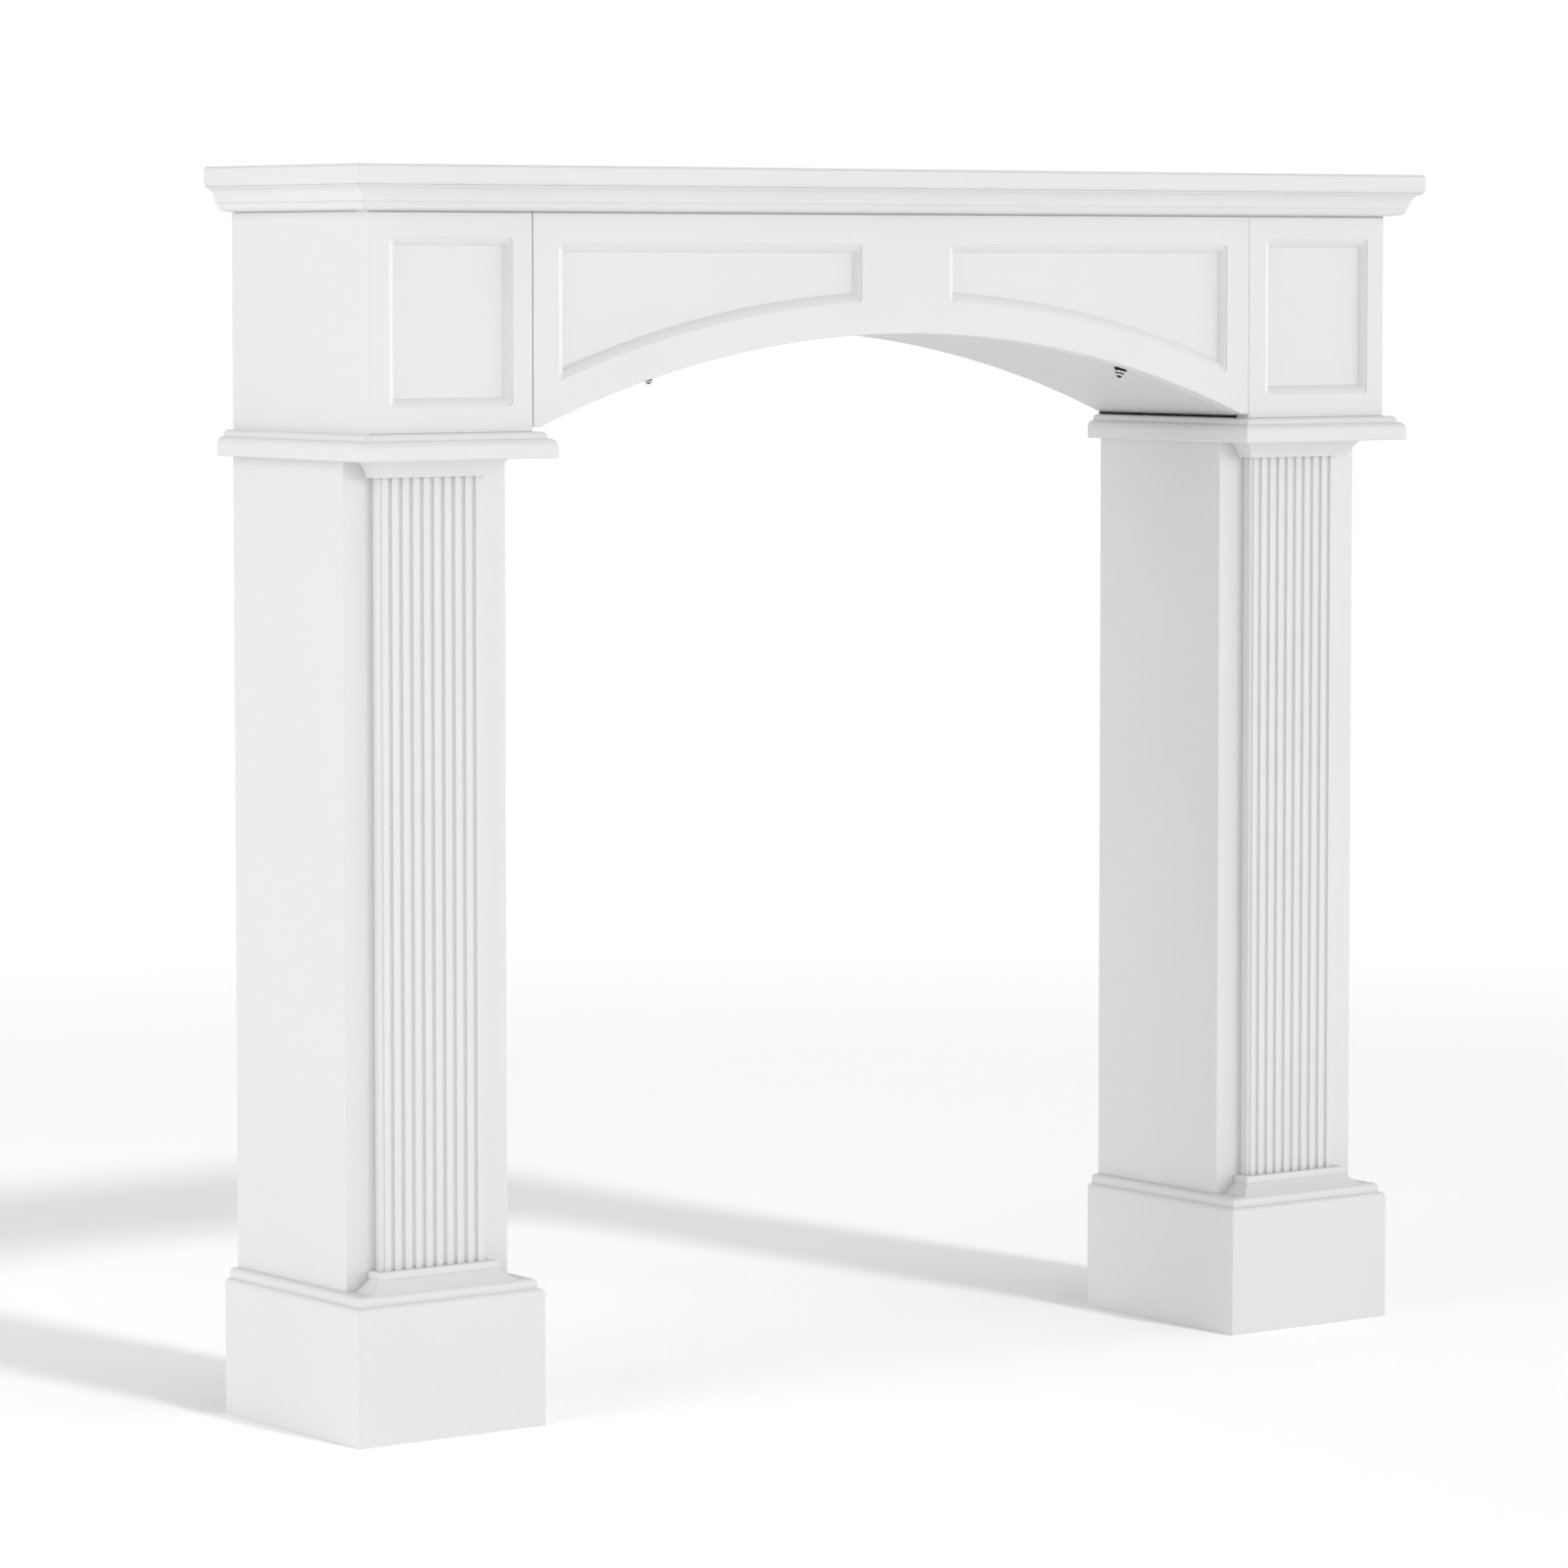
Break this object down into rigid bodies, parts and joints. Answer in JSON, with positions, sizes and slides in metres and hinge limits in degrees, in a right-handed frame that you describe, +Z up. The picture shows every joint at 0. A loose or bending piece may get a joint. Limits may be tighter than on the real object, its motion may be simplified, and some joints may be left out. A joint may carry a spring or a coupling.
{
  "type": "fireplace surround",
  "caption": "White painted wooden fireplace surround: fluted square legs on plinths, an arched front with sunk panels, and a flat mantel shelf over a cornice.",
  "frame": {"origin": "on the floor, under the middle of the shelf in both directions", "axes": "+X along the shelf to the viewer's right, -Y out of the front into the room, +Y towards the wall, +Z up"},
  "size_m": [1.1, 0.2256, 1],
  "materials": {
    "painted_wood": "white satin paint over smooth board",
    "steel": "plain metal"
  },
  "bodies": {
    "root": {"mantel_shelf": "painted_wood", "cornice_front": "painted_wood", "cornice_left_return": "painted_wood", "cornice_right_return": "painted_wood", "arched_fascia": "painted_wood", "arched_back_board": "painted_wood", "curved_soffit": "painted_wood", "left_soffit_fixing": "steel", "right_soffit_fixing": "steel", "left_block_front": "painted_wood", "left_block_outer": "painted_wood", "left_block_inner": "painted_wood", "left_collar": "painted_wood", "left_head_moulding_front": "painted_wood", "left_head_moulding_outer": "painted_wood", "left_head_moulding_inner": "painted_wood", "left_shaft_front": "painted_wood", "left_shaft_outer": "painted_wood", "left_shaft_inner": "painted_wood", "left_fluted_strip": "painted_wood", "left_foot_moulding_front": "painted_wood", "left_foot_moulding_outer": "painted_wood", "left_foot_moulding_inner": "painted_wood", "left_plinth_cap": "painted_wood", "left_plinth_front": "painted_wood", "left_plinth_outer": "painted_wood", "left_plinth_inner": "painted_wood", "right_block_front": "painted_wood", "right_block_outer": "painted_wood", "right_block_inner": "painted_wood", "right_collar": "painted_wood", "right_head_moulding_front": "painted_wood", "right_head_moulding_outer": "painted_wood", "right_head_moulding_inner": "painted_wood", "right_shaft_front": "painted_wood", "right_shaft_outer": "painted_wood", "right_shaft_inner": "painted_wood", "right_fluted_strip": "painted_wood", "right_foot_moulding_front": "painted_wood", "right_foot_moulding_outer": "painted_wood", "right_foot_moulding_inner": "painted_wood", "right_plinth_cap": "painted_wood", "right_plinth_front": "painted_wood", "right_plinth_outer": "painted_wood", "right_plinth_inner": "painted_wood"}
  },
  "joints": []
}
